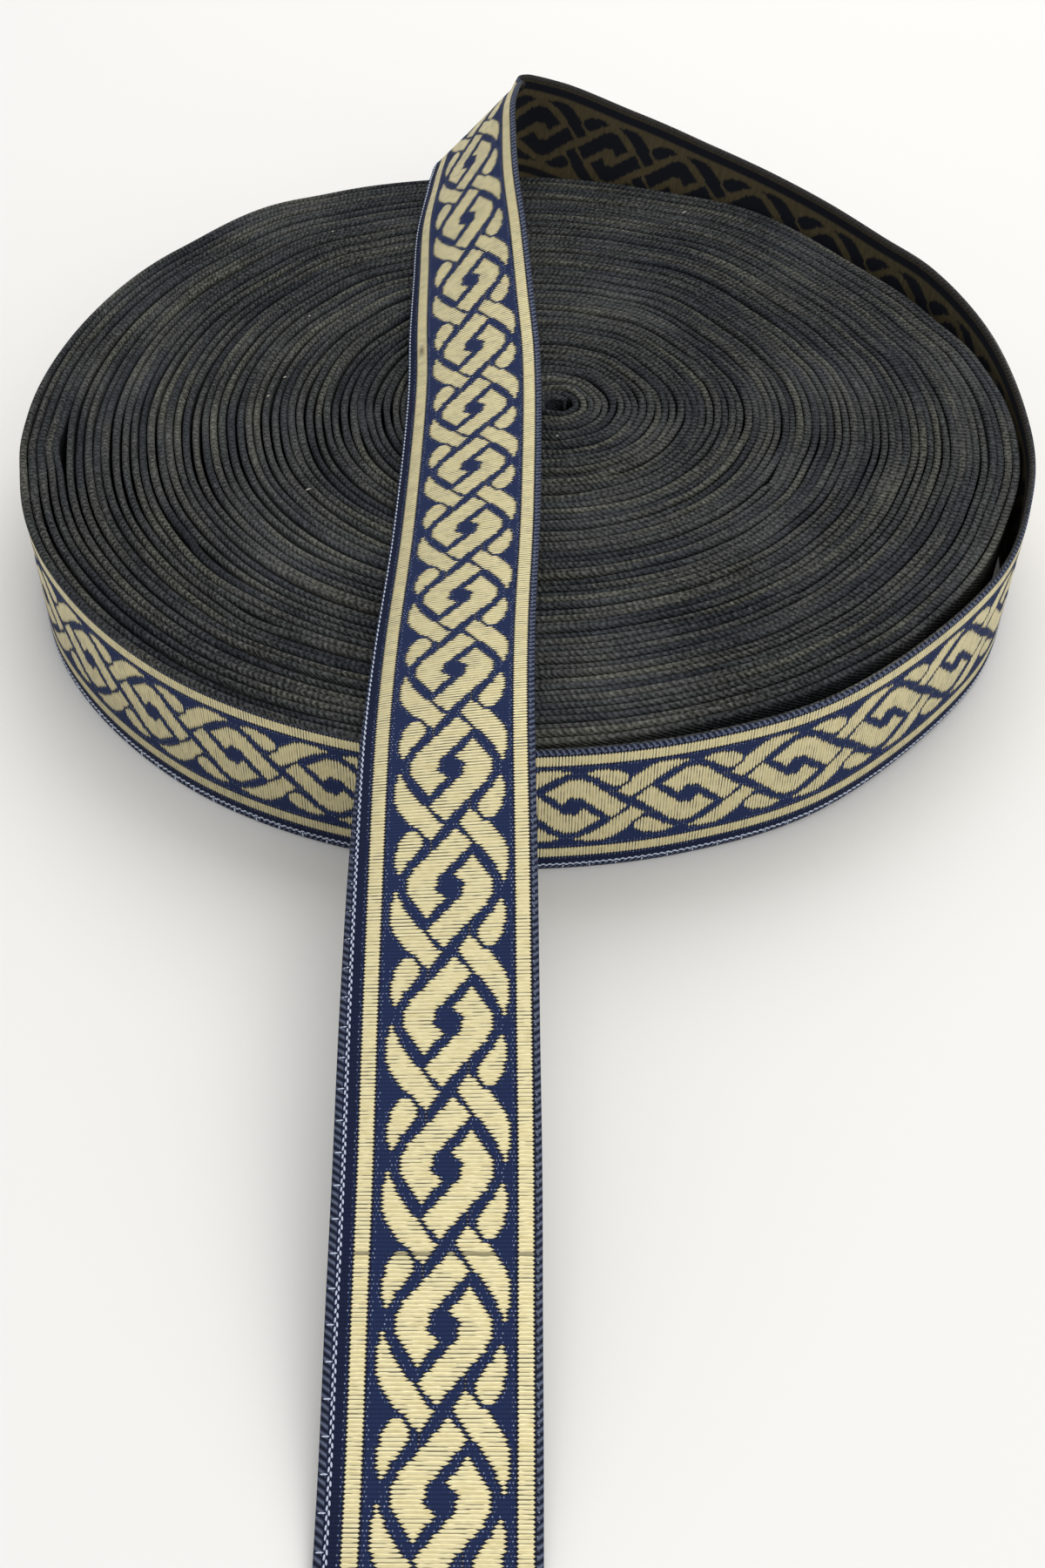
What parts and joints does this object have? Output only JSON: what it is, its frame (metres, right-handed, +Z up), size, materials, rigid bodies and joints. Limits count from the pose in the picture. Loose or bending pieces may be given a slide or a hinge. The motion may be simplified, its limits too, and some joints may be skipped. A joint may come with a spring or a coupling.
{
  "type": "flat roll of woven jacquard trim ribbon with its outer end drawn loose",
  "caption": "Flat pancake roll of woven patterned ribbon lying on a surface, its outer end drawn round the back, over the top and down in front.",
  "frame": {"origin": "on the surface it lies on, under the middle of the roll", "axes": "+X to the right and +Y to the back, seen from the end where the loose ribbon comes down; +Z up, through the roll's flat sides"},
  "size_m": [0.1527, 0.2609, 0.0398],
  "materials": {
    "wound_ribbon": "selvages of tightly wound woven ribbon",
    "ribbon_face": "woven navy ground with pale gold figure, slight sheen"
  },
  "bodies": {
    "root": {"ribbon_roll": "wound_ribbon", "ribbon_loose_end": "ribbon_face"}
  },
  "joints": []
}
